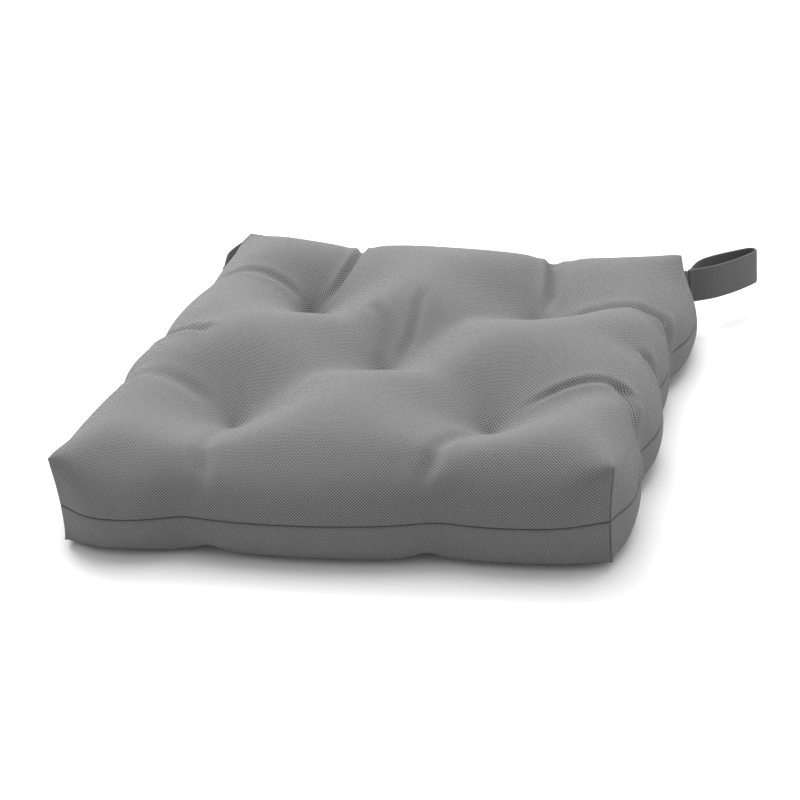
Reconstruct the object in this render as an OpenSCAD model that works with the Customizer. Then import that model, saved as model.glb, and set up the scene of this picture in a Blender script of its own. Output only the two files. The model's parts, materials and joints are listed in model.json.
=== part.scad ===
/* [Pad] */
// Width across the filled side walls
pad_w = 420; // [320:5:500]
// Depth across the filled front and back walls
pad_d = 420; // [320:5:500]
// Height from the resting face to the crowns
pad_h = 84; // [70:1:110]
// Radius of the soft edges round the top and bottom faces
edge_r = 16; // [8:1:24]
// Height of the seam that joins the two panels
seam_z = 36; // [30:1:45]
// Thickness of the woven cover
cover_t = 1.2; // [0.8:0.1:2]

/* [Tufts] */
// Distance of the outer tufts from the middle of the pad, along both axes
tuft_pitch = 98; // [80:1:110]
// Width of a dimple in the upper face
top_dimple_d = 130; // [90:2:136]
// Depth of a dimple in the upper face
top_dimple_depth = 40; // [20:1:44]
// Width of a dimple in the lower face
low_dimple_d = 110; // [70:2:130]
// Depth of a dimple in the lower face
low_dimple_depth = 26; // [6:1:28]
// Diameter of the doubled twine of a tuft
twine_d = 2; // [1:0.5:4]

/* [Loops] */
// Width of the webbing, which stands upright
webbing_w = 30; // [20:1:34]
// Thickness of the webbing
webbing_t = 1.6; // [1:0.2:2.4]
// Reach of a loop beyond its corner
loop_reach = 77; // [40:1:90]
// Width of a loop across its two legs
loop_across = 14; // [12:1:20]
// Turn of the left loop about its root, 0 for straight out from the corner
left_loop_turn = -55; // [-75:5:75]

/* [Sewing] */
// Width of the seam allowances inside the cover
allowance_w = 9; // [7:1:12]
// Thickness of the sewing thread in a seam
thread_t = 0.8; // [0.5:0.1:1.2]
// Length of the filling opening that is sewn shut last
opening_l = 150; // [80:5:200]

/* [Hidden] */
$fn = 48;

half_w = pad_w / 2;
half_d = pad_d / 2;
slack = 0.4;            // clearance of the filling round the allowances
big = 2 * (pad_w + pad_d);
sliver = 0.01;

// Tufts
tuft_flat_r = 6;        // flat floor of a dimple, where the twine is tied
dimple_steps = 9;       // cones that make up the slope of a dimple
twine_clearance = 0.1;
knot_r = 3.6;
knot_h = 2;

// Side seams: two plies lie face to face at seam_z and point inwards
stitch_in = 1.8;        // stitch line behind the wall
seam_end_gap = 16;      // the side allowances stop short of the corner allowances
overlock_depth = 4;
overlock_t = 0.5;

// Corner seams: two plies stand upright on the diagonal
fin_low = edge_r + 3;
fin_high = pad_h - edge_r - 3;
stitch_rise = thread_t; // loops of the lockstitch outside the plies

// Loops: the hinge is the line where the webbing leaves the corner seam
loop_mid_z = seam_z + 1;
hinge_gap = 2.4;        // from the corner edge to the hinge line
root_r = webbing_t;     // the two legs lie together at the root
loop_r = loop_across / 2;
loop_open_at = 20;      // distance from the hinge at which the legs are parallel
legs_joined = 5;        // distance from the hinge over which the legs lie together
tail_in = 7;            // length of webbing inside the corner seam
tail_out = 0.4;
tail_t = 2 * webbing_t;
bar_tack_in = 5;
bar_tack_t = 1.2;
bar_tack_h = webbing_w - 8;

fabric_colour = [0.56, 0.56, 0.56];
thread_colour = [0.42, 0.42, 0.42];
fibre_colour = [0.93, 0.93, 0.91];
webbing_colour = [0.33, 0.33, 0.33];

function dimple_slope(r, flat_r, rim_r) = (1 + cos(180 * (r - flat_r) / (rim_r - flat_r))) / 2;

// Outline of the pad across one axis: flat faces with quarter-round edges
module pad_section(width, height, radius) {
    translate([-width / 2, radius]) square([width, height - 2 * radius]);
    translate([-width / 2 + radius, 0]) square([width - 2 * radius, height]);
    for (x = [-width / 2 + radius, width / 2 - radius], y = [radius, height - radius])
        translate([x, y]) circle(radius);
}

// Boxed pad without its tufts: the two sections meet in a mitre at each corner, as the panels do
module boxed_form(inset) {
    height = pad_h - 2 * inset;
    radius = edge_r - inset;
    translate([0, 0, inset]) intersection() {
        translate([0, half_d, 0]) rotate([90, 0, 0]) linear_extrude(pad_d)
            pad_section(pad_w - 2 * inset, height, radius);
        translate([-half_w, 0, 0]) rotate([90, 0, 90]) linear_extrude(pad_w)
            pad_section(pad_d - 2 * inset, height, radius);
    }
}

// Space that a dimple takes out of a face at z = 0, opening upwards
module dimple(diameter, depth) {
    rim_r = diameter / 2;
    slope = [for (i = [0 : dimple_steps])
        let (r = tuft_flat_r + (rim_r - tuft_flat_r) * i / dimple_steps)
        [r, -depth * dimple_slope(r, tuft_flat_r, rim_r)]];
    rotate_extrude() polygon(concat([[0, -depth]], slope, [[rim_r, edge_r], [0, edge_r]]));
}

module at_tufts() {
    for (p = [[0, 0], [-1, -1], [1, -1], [-1, 1], [1, 1]])
        translate([p[0] * tuft_pitch, p[1] * tuft_pitch, 0]) children();
}

module pad_form(inset) {
    difference() {
        boxed_form(inset);
        at_tufts() translate([0, 0, pad_h - inset]) dimple(top_dimple_d, top_dimple_depth);
        at_tufts() translate([0, 0, inset]) mirror([0, 0, 1]) dimple(low_dimple_d, low_dimple_depth);
    }
}

module upper_half() {
    translate([-big / 2, -big / 2, seam_z]) cube([big, big, pad_h]);
}

module lower_half() {
    translate([-big / 2, -big / 2, seam_z - pad_h]) cube([big, big, pad_h]);
}

// A bar along one side, from behind the wall inwards, centred on the seam. side: 0 front, 1 right, 2 back, 3 left
module side_bar(side, from_wall, depth, height, length) {
    reach = side % 2 == 0 ? half_d : half_w;
    rotate([0, 0, 90 * side]) translate([-length / 2, -reach + from_wall, seam_z - height / 2])
        cube([length, depth, height]);
}

function side_length(side) = (side % 2 == 0 ? pad_w : pad_d) - 2 * seam_end_gap;

// Upright plate on the diagonal of a corner, from behind the corner edge inwards
module corner_plate(corner, from_edge, depth, thickness, low, high) {
    translate([corner[0] * half_w, corner[1] * half_d, low])
        rotate([0, 0, corner_angle(corner)])
            translate([-from_edge - depth, -thickness / 2, 0])
                cube([depth, thickness, high - low]);
}

function corner_angle(corner) = atan2(corner[1], corner[0]);

// Direction in which a loop points: the left one hangs back behind the pad
function loop_angle(corner) = corner_angle(corner) + (corner[0] < 0 ? left_loop_turn : 0);

FRONT_LEFT = [-1, -1];
FRONT_RIGHT = [1, -1];
BACK_LEFT = [-1, 1];
BACK_RIGHT = [1, 1];
CORNERS = [FRONT_LEFT, FRONT_RIGHT, BACK_LEFT, BACK_RIGHT];
LOOP_CORNERS = [BACK_LEFT, BACK_RIGHT];

// The two plies of a corner seam are further apart where they hold the webbing
function plies_t(corner) = 2 * cover_t + (corner[1] > 0 ? tail_t : 0);

module corner_plies(corner, grow) {
    corner_plate(corner, cover_t, allowance_w + grow, plies_t(corner) + 2 * grow, fin_low - grow, fin_high + grow);
}

module tail_space(corner) {
    corner_plate(corner, -tail_out, tail_out + tail_in + cover_t, tail_t,
        loop_mid_z - webbing_w / 2, loop_mid_z + webbing_w / 2);
}

// Everything that is sewn through the plies of a corner
module corner_thread(corner) {
    corner_plate(corner, stitch_in + cover_t, thread_t, plies_t(corner) + 2 * stitch_rise, fin_low + 2, fin_high - 2);
}

module bar_tack_thread(corner) {
    corner_plate(corner, bar_tack_in + cover_t, bar_tack_t, plies_t(corner) + 2 * stitch_rise,
        loop_mid_z - bar_tack_h / 2, loop_mid_z + bar_tack_h / 2);
}

module side_thread(side, length) {
    side_bar(side, cover_t + stitch_in, thread_t, 2 * (cover_t + stitch_rise), length);
}

module side_plies(side, grow) {
    side_bar(side, 0, cover_t + allowance_w + grow, 2 * (cover_t + grow), side_length(side) + 2 * grow);
}

module twine_holes(clearance) {
    at_tufts() cylinder(h = pad_h, d = twine_d + 2 * clearance);
}

// The closing stitch lies over the seam on the outside of the back wall
module closing_strip() {
    side_bar(2, 0, thread_t, 2 * thread_t, opening_l);
}

// Cover with its allowances turned in, before it is divided at the seam
module sewn_cover() {
    difference() {
        union() {
            difference() {
                pad_form(0);
                pad_form(cover_t);
            }
            intersection() {
                union() {
                    for (side = [0 : 3]) side_plies(side, 0);
                    for (corner = CORNERS) corner_plies(corner, 0);
                }
                boxed_form(cover_t / 2);
            }
        }
        for (side = [0 : 3]) side_thread(side, side_length(side) - 2);
        for (corner = CORNERS) corner_thread(corner);
        for (corner = LOOP_CORNERS) tail_space(corner);
        for (corner = LOOP_CORNERS) bar_tack_thread(corner);
        closing_strip();
        twine_holes(twine_clearance);
    }
}

module upper_panel() {
    color(fabric_colour) intersection() {
        sewn_cover();
        upper_half();
    }
}

module lower_panel() {
    color(fabric_colour) intersection() {
        sewn_cover();
        lower_half();
    }
}

module fibre_filling() {
    overlock_space = overlock_t + slack;
    color(fibre_colour) difference() {
        pad_form(cover_t + slack / 2);
        for (side = [0 : 3]) side_plies(side, overlock_space);
        for (corner = CORNERS) corner_plies(corner, overlock_space + stitch_rise);
        twine_holes(slack);
    }
}

module side_seam(side) {
    color(thread_colour) side_thread(side, side_length(side) - 2);
}

// The back seam is sewn from both corners up to the filling opening. end: 1 right, -1 left
module back_seam_end(end) {
    run = (side_length(2) - 2 - opening_l) / 2;
    color(thread_colour) translate([end * (opening_l + run) / 2, 0, 0]) side_thread(2, run);
}

// Overlock thread wraps the raw edges of the allowances of one side
module side_overlock(side) {
    color(thread_colour) difference() {
        side_bar(side, cover_t + allowance_w - overlock_depth, overlock_depth + overlock_t,
            2 * (cover_t + overlock_t), side_length(side) - 2);
        side_plies(side, 0);
    }
}

module corner_seam(corner) {
    color(thread_colour) difference() {
        corner_thread(corner);
        if (corner[1] > 0) tail_space(corner);
    }
}

module corner_overlock(corner) {
    outer_t = plies_t(corner) + 2 * overlock_t;
    color(thread_colour) difference() {
        corner_plate(corner, cover_t + allowance_w - overlock_depth + 2, overlock_depth - 2 + overlock_t,
            outer_t, fin_low + 2, fin_high - 2);
        corner_plies(corner, 0);
    }
}

// Doubled twine through the whole pad, tied off on both faces
module tuft(p) {
    top_floor = pad_h - top_dimple_depth;
    color(thread_colour) translate([p[0] * tuft_pitch, p[1] * tuft_pitch, 0]) {
        translate([0, 0, low_dimple_depth - knot_h / 2])
            cylinder(h = top_floor - low_dimple_depth + knot_h, d = twine_d);
        translate([0, 0, top_floor]) cylinder(h = knot_h, r = knot_r);
        translate([0, 0, low_dimple_depth - knot_h]) cylinder(h = knot_h, r = knot_r);
    }
}

// Outline of a loop seen from above, hinge at the origin, pointing along +X; shrink gives the inner outline
module loop_outline(shrink) {
    end_r = loop_r - shrink;
    start_r = root_r - min(shrink, root_r - sliver);
    end_x = loop_reach - hinge_gap - loop_r;
    circle(start_r);
    polygon([[0, -start_r], [loop_open_at, -end_r], [loop_open_at, end_r], [0, start_r]]);
    translate([loop_open_at, -end_r]) square([end_x - loop_open_at, 2 * end_r]);
    translate([end_x, 0]) circle(end_r);
}

module loop(corner) {
    edge = hinge_gap * [cos(corner_angle(corner)), sin(corner_angle(corner))];
    color(webbing_colour)
        translate([corner[0] * half_w + edge[0], corner[1] * half_d + edge[1], loop_mid_z - webbing_w / 2])
            rotate([0, 0, loop_angle(corner)])
                linear_extrude(webbing_w) difference() {
                    loop_outline(0);
                    intersection() {
                        loop_outline(webbing_t);
                        translate([legs_joined, -loop_r]) square([loop_reach, loop_across]);
                    }
                }
}

module loop_tail(corner) {
    color(webbing_colour) difference() {
        tail_space(corner);
        bar_tack_thread(corner);
    }
}

module loop_bar_tack(corner) {
    color(thread_colour) bar_tack_thread(corner);
}

upper_panel();
lower_panel();
fibre_filling();
side_seam(0);  // front_seam
side_seam(1);  // right_seam
side_seam(3);  // left_seam
back_seam_end(1);  // back_seam_right_end
back_seam_end(-1);  // back_seam_left_end
color(thread_colour) closing_strip();  // closing_stitch
side_overlock(0);  // front_overlock
side_overlock(1);  // right_overlock
side_overlock(3);  // left_overlock
side_overlock(2);  // back_overlock
corner_seam(FRONT_LEFT);  // front_left_corner_seam
corner_seam(FRONT_RIGHT);  // front_right_corner_seam
corner_seam(BACK_LEFT);  // back_left_corner_seam
corner_seam(BACK_RIGHT);  // back_right_corner_seam
corner_overlock(FRONT_LEFT);  // front_left_corner_overlock
corner_overlock(FRONT_RIGHT);  // front_right_corner_overlock
corner_overlock(BACK_LEFT);  // back_left_corner_overlock
corner_overlock(BACK_RIGHT);  // back_right_corner_overlock
tuft([0, 0]);  // centre_tuft
tuft(FRONT_LEFT);  // front_left_tuft
tuft(FRONT_RIGHT);  // front_right_tuft
tuft(BACK_LEFT);  // back_left_tuft
tuft(BACK_RIGHT);  // back_right_tuft
loop(BACK_LEFT);  // left_loop
loop(BACK_RIGHT);  // right_loop
loop_tail(BACK_LEFT);  // left_loop_tail
loop_tail(BACK_RIGHT);  // right_loop_tail
loop_bar_tack(BACK_LEFT);  // left_loop_bar_tack
loop_bar_tack(BACK_RIGHT);  // right_loop_bar_tack
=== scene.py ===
"""Tufted chair seat pad in a grey plain weave, with a webbing loop at each back corner.

The cover is one closed cloth, pulled down at the tufts and blown up by its filling in a
cloth simulation. It is then cut along the wall seam and the corner seams into the two sewn
panels, whose allowances are turned in. Threads, twine and webbing follow the sewn cloth.
"""
import math

import bmesh
import bpy
import numpy as np
from mathutils import Matrix, Vector
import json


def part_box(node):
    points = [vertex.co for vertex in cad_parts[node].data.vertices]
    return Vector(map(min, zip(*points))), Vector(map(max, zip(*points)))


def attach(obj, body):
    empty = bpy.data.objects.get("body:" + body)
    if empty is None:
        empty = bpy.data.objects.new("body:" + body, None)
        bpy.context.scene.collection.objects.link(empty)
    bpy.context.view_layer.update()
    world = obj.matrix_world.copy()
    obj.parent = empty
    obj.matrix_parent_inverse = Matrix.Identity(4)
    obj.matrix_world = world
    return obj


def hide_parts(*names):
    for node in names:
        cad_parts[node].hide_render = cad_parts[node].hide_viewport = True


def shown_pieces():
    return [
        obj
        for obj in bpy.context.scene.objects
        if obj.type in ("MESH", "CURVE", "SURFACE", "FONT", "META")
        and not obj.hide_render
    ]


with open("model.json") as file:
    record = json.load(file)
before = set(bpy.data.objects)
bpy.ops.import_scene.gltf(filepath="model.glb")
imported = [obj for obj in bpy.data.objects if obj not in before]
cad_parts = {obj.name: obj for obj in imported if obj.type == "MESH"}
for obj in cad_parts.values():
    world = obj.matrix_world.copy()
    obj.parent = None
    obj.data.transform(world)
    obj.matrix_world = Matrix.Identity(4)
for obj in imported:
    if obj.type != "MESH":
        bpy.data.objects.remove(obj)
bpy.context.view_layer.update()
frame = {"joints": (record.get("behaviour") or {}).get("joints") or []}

SIDES = ("front", "right", "back", "left")
CORNERS = ("front_right", "back_right", "back_left", "front_left")
OUTWARD = np.array([(0, -1, 0), (1, 0, 0), (0, 1, 0), (-1, 0, 0)], float)
ALONG = np.array([(1, 0, 0), (0, 1, 0), (-1, 0, 0), (0, -1, 0)], float)
DIAGONAL = np.array([(1, -1, 0), (1, 1, 0), (-1, 1, 0), (-1, -1, 0)], float) / math.sqrt(2)
UP = np.array((0.0, 0.0, 1.0))


def cad(node):
    """Lowest and highest corner of a CAD node, as arrays."""
    low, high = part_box(node)
    return np.array(low, float), np.array(high, float)


def in_scene(name, data):
    """A new object that holds the data."""
    obj = bpy.data.objects.new(name, data)
    bpy.context.collection.objects.link(obj)
    return obj


def square(name, half, z):
    """A level square mesh round the middle."""
    mesh = bpy.data.meshes.new(name)
    mesh.from_pydata([(-half, -half, z), (half, -half, z), (half, half, z), (-half, half, z)],
                     [], [(0, 1, 2, 3)])
    return mesh


# ---------------------------------------------------------------- sizes, in metres
upper_low, upper_high = cad("upper_panel")
centre_low, centre_high = cad("centre_tuft")
tuft_low, tuft_high = cad("front_right_tuft")
loop_low, loop_high = cad("right_loop")

WALL_SWELL = 0.010                     # how far the CAD's walls stand out past the corner seams
SEAM_SAG = 0.003                       # the wall seam sags a little below its drawn line
FULLER = 0.006                         # the crowns are drawn higher, as the cloth evens them out
HALF = upper_high[0] - WALL_SWELL      # from the middle to a corner seam
SEAM_Z = upper_low[2] - SEAM_SAG
CORNER_Z = 0.076                       # height of a corner's tip
CROWN = upper_high[2] - CORNER_Z + FULLER
TUFT = (tuft_low[0] + tuft_high[0]) / 2
KNOT_H = 0.002                         # height of a tuft's knot and of its stitch
DIMPLE_TOP = centre_high[2] - KNOT_H
DIMPLE_LOW = centre_low[2] + KNOT_H
CENTRE_OFF = -0.007                    # the middle tuft was set a little to the left
TUFT_NAMES = ("centre_tuft", "front_left_tuft", "front_right_tuft", "back_left_tuft",
              "back_right_tuft")
TUFTS = [(CENTRE_OFF, 0), (-TUFT, -TUFT), (TUFT, -TUFT), (-TUFT, TUFT), (TUFT, TUFT)]

CLOTH_T = 0.0011
ALLOWANCE = 0.009                      # seam allowance, turned in
ROLL = 0.0006                          # radius at which the cloth turns into a seam
WEBBING_T = 0.0016
PLY_CLEAR = 0.0003                     # room between two layers that are sewn together
LOOP_R = 0.007                         # half of a loop's width across its two legs
WEAVE_PITCH = 0.00115

CELLS = 80       # cells along each side of the two faces
LOW_ROWS, HIGH_ROWS = 5, 7             # rows of cells below and above the wall seam
FRAMES, PULL_FRAMES = 50, 20           # length of the simulation, and of its pull to the form


# ---------------------------------------------------------------- cover: grid
class BoxGrid:
    """Closed box of quads: so many cells along each side of a face, and rows up each wall."""

    def __init__(self, cells, rows):
        self.cells, self.rows, self.number, self.faces = cells, rows, {}, []
        n = cells
        for i in range(n):
            for j in range(n):
                self.quad((i, j, rows), (i + 1, j, rows), (i + 1, j + 1, rows), (i, j + 1, rows))
                self.quad((i, j, 0), (i, j + 1, 0), (i + 1, j + 1, 0), (i + 1, j, 0))
        for side in range(4):
            for a in range(n):
                for k in range(rows):
                    self.quad(*(self.wall(side, a + da, k + dk)
                                for da, dk in ((0, 0), (1, 0), (1, 1), (0, 1))))
        self.keys = np.array(list(self.number))

    def quad(self, *keys):
        """Adds a face, numbering the points that are new."""
        self.faces.append([self.number.setdefault(k, len(self.number)) for k in keys])

    def wall(self, side, a, k):
        """Key of a wall point; a runs anticlockwise round the pad."""
        n = self.cells
        return ((a, 0, k), (n, a, k), (n - a, n, k), (0, n - a, k))[side]

    def wall_index(self, side, a, k):
        """Number of a wall point."""
        return self.number[self.wall(side, a, k)]


grid = BoxGrid(CELLS, LOW_ROWS + HIGH_ROWS)
s, t, row = (grid.keys / (CELLS, CELLS, 1)).T
on_top, on_base = row == grid.rows, row == 0
across, along = (s - 0.5) * 2 * HALF, (t - 0.5) * 2 * HALF
flat_z = np.where(row <= LOW_ROWS, SEAM_Z * row / LOW_ROWS,
                  SEAM_Z + (CORNER_Z - SEAM_Z) * (row - LOW_ROWS) / HIGH_ROWS)


# ---------------------------------------------------------------- cover: the form it is sewn to
# A soft pad is never quite square: how far each corner's tip and foot lie from their places
TIP_SHIFT = {"front_right": (0.006, 0.0, 0.008), "back_right": (0.009, 0.004, -0.003),
             "back_left": (0.037, 0.006, 0.0258), "front_left": (-0.002, -0.002, -0.001)}
FOOT_SHIFT = {"front_right": (-0.002, 0.0, 0.0), "back_right": (0.008, 0.008, 0.0),
              "back_left": (-0.008, 0.008, 0.003), "front_left": (0.002, -0.001, 0.0)}
# Lobes of each wall, anticlockwise from its first corner: where each ends and how far it stands out
BULGE = {"front": ((-0.104, 0.022), (0.082, 0.021), (0.200, 0.014)),
         "right": ((-0.098, 0.015), (0.000, 0.018), (0.075, 0.010), (0.200, 0.022)),
         "back": ((-0.092, 0.016), (0.086, 0.016), (0.200, 0.014)),
         "left": ((-0.125, 0.012), (-0.020, 0.024), (0.046, 0.034), (0.200, 0.026))}
BELLY_FOOT = 0.30                      # the lower wall stands out nearly down to its foot
FOOT_REACH = 0.05                      # how far the lower face is drawn out with the walls
# Share of its bulge that a wall keeps between two lobes
LOBE_FLOOR = {"front": 0.15, "right": -0.2, "back": -0.1, "left": -0.25}
# Rounding of each wall into the upper face
TOP_R = {"front": 0.030, "right": 0.030, "back": 0.024, "left": 0.020}
BASE_R = 0.002                         # rounding of the walls into the lower face
# The valleys of each outer tuft to the front or back wall, and to the side wall:
# where it arrives, off the tuft's own column, and its depth there as a share of the dimple's
VALLEYS = {(-1, -1): ((0.014, 0.22), (0.050, 0.46)), (1, -1): ((-0.026, 0.28), (0.020, 0.22)),
           (-1, 1): ((0.012, 0.38), (0.028, 0.38)), (1, 1): ((-0.006, 0.55), (-0.014, 0.45))}
# A notch between two tufts in the left wall and in the right wall: from, to
SIDE_NOTCHES = (((-0.125, 0.012), (-0.205, 0.020)), ((0.150, 0.004), (0.205, 0.0)))
NOTCH = 0.45                           # depth of a notch between two tufts, at the wall
MIDDLE = 0.36                          # share of a dimple's depth that a valley has in its middle
VALLEY_W = 0.016                       # half the width of a valley
DIMPLE_R = 0.088                       # radius of an upper dimple
LOW_DIMPLE = 0.7                       # size of a lower dimple beside an upper one
LOW_SHARE = 0.40                       # least depth of the lower face's valleys at the wall
CROWN_REACH = 0.075                    # from an edge to the full height of the crowns
ROUND_REACH = 0.05                     # from a corner to the full rounding of an edge
SWELL_REACH = 0.03                     # from a corner to the full bulge of a wall
CONE = 0.6                             # how far a dimple is a plain cone rather than a round bowl
CREASE_STEPS = 12                      # pieces that a crease's curve is measured along
# Creases in the cloth, in tuft distances on the flat cut: from, bend, to; depth and width in metres
CREASES = [((1.12, -0.86), (1.65, -0.58), (2.15, -0.78), 0.0024, 0.0030),
           ((1.80, -0.64), (2.20, -0.90), (2.50, -1.60), 0.0055, 0.0045),
           ((1.95, 0.10), (2.25, 0.02), (2.50, -0.25), 0.0045, 0.0050),
           ((1.95, 0.95), (2.25, 0.75), (2.50, 0.60), 0.0045, 0.0050),
           ((1.05, 1.15), (0.98, 1.60), (0.90, 2.15), 0.0055, 0.0045),
           ((-0.98, 1.15), (-0.90, 1.6), (-0.86, 2.15), 0.0040, 0.0034),
           ((-2.30, 0.20), (-1.85, 0.08), (-1.45, -0.18), 0.0050, 0.0042),
           ((-0.08, 0.10), (-0.20, 0.45), (-0.42, 0.70), 0.0026, 0.0045),
           ((0.04, 0.12), (0.06, 0.50), (0.02, 0.85), 0.0022, 0.0045),
           ((-1.04, -1.12), (-0.92, -1.6), (-0.84, -2.3), 0.0024, 0.0055),
           ((0.95, -1.10), (0.80, -1.55), (0.72, -2.3), 0.0026, 0.0055),
           ((1.10, 1.0), (1.60, 0.90), (2.2, 0.80), 0.0040, 0.0055),
           ((-1.10, 1.05), (-1.55, 1.24), (-2.2, 1.28), 0.0020, 0.0034),
           ((-1.10, -0.94), (-1.60, -0.66), (-2.3, -0.54), 0.0016, 0.0050)]


def smooth(x):
    """Goes gently from 0 at 0 to 1 at 1."""
    x = np.clip(x, 0, 1)
    return x * x * (3 - 2 * x)


def to_segment(x, y, a, b):
    """Distance from a segment, and the share of the way along it."""
    (ax, ay), (bx, by) = a, b
    q = ((x - ax) * (bx - ax) + (y - ay) * (by - ay)) / ((bx - ax) ** 2 + (by - ay) ** 2)
    q = np.clip(q, 0, 1)
    return np.hypot(x - ax - q * (bx - ax), y - ay - q * (by - ay)), q


def valleys(shallowest):
    """Start, end, and depth shares at both, of every valley in a face."""
    for tuft in TUFTS[1:]:
        sx, sy = (int(math.copysign(1, v)) for v in tuft)
        (off_x, share_y), (off_y, share_x) = VALLEYS[(sx, sy)]
        yield TUFTS[0], tuft, MIDDLE, MIDDLE
        yield tuft, (tuft[0] + off_x, sy * HALF), MIDDLE, max(share_y, shallowest)
        yield tuft, (sx * HALF, tuft[1] + off_y), MIDDLE, max(share_x, shallowest)
    for start, end in SIDE_NOTCHES:
        yield start, end, 0.0, NOTCH


def relief(x, y, radius, shallowest):
    """0 on a crown and 1 at a tuft."""
    dimple, channel = np.zeros_like(x), np.zeros_like(x)
    for tx, ty in TUFTS:
        q = np.clip(np.hypot(x - tx, y - ty) / radius, 0, 1)
        dimple = np.maximum(dimple, CONE * (1 - q) + (1 - CONE) * (1 - smooth(q)))
    for start, end, first, last in valleys(shallowest):
        d, q = to_segment(x, y, start, end)
        depth = first * (1 - q) + last * q
        channel = np.maximum(channel, depth * np.exp(-(d / (VALLEY_W * (1 - 0.3 * q))) ** 2))
    return 1 - (1 - dimple) * (1 - channel)


def creases(x, y):
    """Depth of the sharp folds at a place on the flat cut; their lips stand up beside them."""
    depth = np.zeros_like(x)
    for first, bend, last, deep, width in CREASES:
        first, bend, last = (np.array(p) * TUFT for p in (first, bend, last))
        q = np.linspace(0, 1, CREASE_STEPS + 1)[:, None]
        line = (1 - q) ** 2 * first + 2 * q * (1 - q) * bend + q * q * last
        nearest, share = np.full_like(x, 1.0), np.zeros_like(x)
        for number, (a, b) in enumerate(zip(line, line[1:])):
            d, along_it = to_segment(x, y, a, b)
            share = np.where(d < nearest, (number + along_it) / CREASE_STEPS, share)
            nearest = np.minimum(d, nearest)
        taper = smooth(share / 0.3) * (1 - smooth((share - 0.8) / 0.2))
        groove = np.exp(-(nearest / width) ** 2)
        lip = 0.35 * np.exp(-((nearest / width - 1.9) / 1.1) ** 2)
        depth += deep * taper * (groove - lip)
    return depth


def wall_lobes(c, side):
    """How far a wall stands out at c, measured anticlockwise from its middle."""
    ends, bulges = zip(*BULGE[SIDES[side]])
    starts = (-HALF, *ends[:-1])
    out = np.zeros_like(c)
    for start, end, bulge in zip(starts, ends, bulges):
        q = np.clip((c - start) / (end - start), 0, 1)
        lobe = bulge * (4 * q * (1 - q)) ** 0.6
        out = np.maximum(out, np.where((c >= start) & (c <= end), lobe, 0))
    middles = [(start + end) / 2 for start, end in zip(starts, ends)]
    floor = np.interp(c, middles, bulges)
    kept = LOBE_FLOOR[SIDES[side]]
    return kept * floor + (1 - kept) * out


def corner_blend(shift, axis, reach):
    """One component of the four corners' shifts, spread over the pad."""
    fr, br, bl, fl = (shift[c][axis] for c in CORNERS)
    return ((s * (1 - t)) ** reach * fr + (s * t) ** reach * br
            + ((1 - s) * t) ** reach * bl + ((1 - s) * (1 - t)) ** reach * fl)


def round_edge(drop, radius):
    """Turns a square edge into a quarter circle: drop is the distance from the edge along the
    cloth, negative on the face and positive on the wall. Returns the shifts inwards and down."""
    angle = (np.clip(drop / radius, -1, 1) + 1) * math.pi / 4
    inward = radius * (1 - np.sin(angle)) - np.clip(-drop, 0, radius)
    down = radius * (1 - np.cos(angle)) - np.clip(drop, 0, radius)
    return inward, down


def sewn_form():
    """Where the cloth is pulled to: crowned faces, dimples, valleys and bulging walls."""
    rise = flat_z / CORNER_Z
    from_side = np.stack([t, 1 - s, 1 - t, s]) * 2 * HALF          # in the order of SIDES
    shares = np.stack([s, t, s, t])
    from_end = np.minimum(shares, 1 - shares) * 2 * HALF
    crown = CORNER_Z + CROWN * smooth(from_side.min(0) / CROWN_REACH) ** 0.8
    top = relief(across, along, DIMPLE_R, 0)
    base = relief(across, along, LOW_DIMPLE * DIMPLE_R, LOW_SHARE)
    x, y, z = across.copy(), along.copy(), flat_z.copy()
    z = np.where(on_top, crown - (crown - DIMPLE_TOP) * top, z)
    z = np.where(on_base, DIMPLE_LOW * base, z)
    belly = np.sin(np.pi * (BELLY_FOOT + (1 - BELLY_FOOT) * rise).clip(0, 1)) ** 0.7
    for side in range(4):
        on_wall = from_side[side] < 1e-9
        c = (across, along, -across, -along)[side]
        fade = smooth(from_end[side] / ROUND_REACH)
        drawn = np.where(on_base, 1 - smooth(from_side[side] / FOOT_REACH), on_wall)
        out = wall_lobes(c, side) * belly * drawn * smooth(from_end[side] / SWELL_REACH)
        for radius, at_edge, sign in ((TOP_R[SIDES[side]], on_top, -1), (BASE_R, on_base, 1)):
            r = radius * (0.1 + 0.9 * fade)
            depth = (CORNER_Z - flat_z) if sign < 0 else flat_z
            inward, down = round_edge(np.where(on_wall, depth, -from_side[side]), r)
            near = (at_edge & (from_side[side] < r)) | (on_wall & (depth < r))
            out -= np.where(near, inward, 0)
            z += np.where(near, sign * down, 0)
        x += OUTWARD[side][0] * out
        y += OUTWARD[side][1] * out
    form = np.stack([x, y, z], 1)
    for axis in (0, 1):
        form[:, axis] += rise ** 4 * corner_blend(TIP_SHIFT, axis, 1.6)
        form[:, axis] += (1 - rise ** 4) * corner_blend(FOOT_SHIFT, axis, 1.6)
    form[:, 2] += rise * corner_blend(TIP_SHIFT, 2, 1.5) + (1 - rise) * corner_blend(FOOT_SHIFT, 2, 2)
    return form


def neighbours():
    """Start and end point of every grid line."""
    faces = np.array(grid.faces)
    lines = np.concatenate([faces[:, [k, (k + 1) % 4]] for k in range(4)])
    return np.unique(np.sort(lines, axis=1), axis=0)


def relax(points, held, turns):
    """Evens the points out along the grid lines; held is 1 where a point stays."""
    lines = neighbours()
    count = np.bincount(lines.ravel(), minlength=len(points))[:, None]
    free = 0.5 * (1 - held)[:, None]
    for _ in range(turns):
        total = np.zeros_like(points)
        np.add.at(total, lines[:, 0], points[lines[:, 1]])
        np.add.at(total, lines[:, 1], points[lines[:, 0]])
        points = points + free * (total / count - points)
    return points


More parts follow.
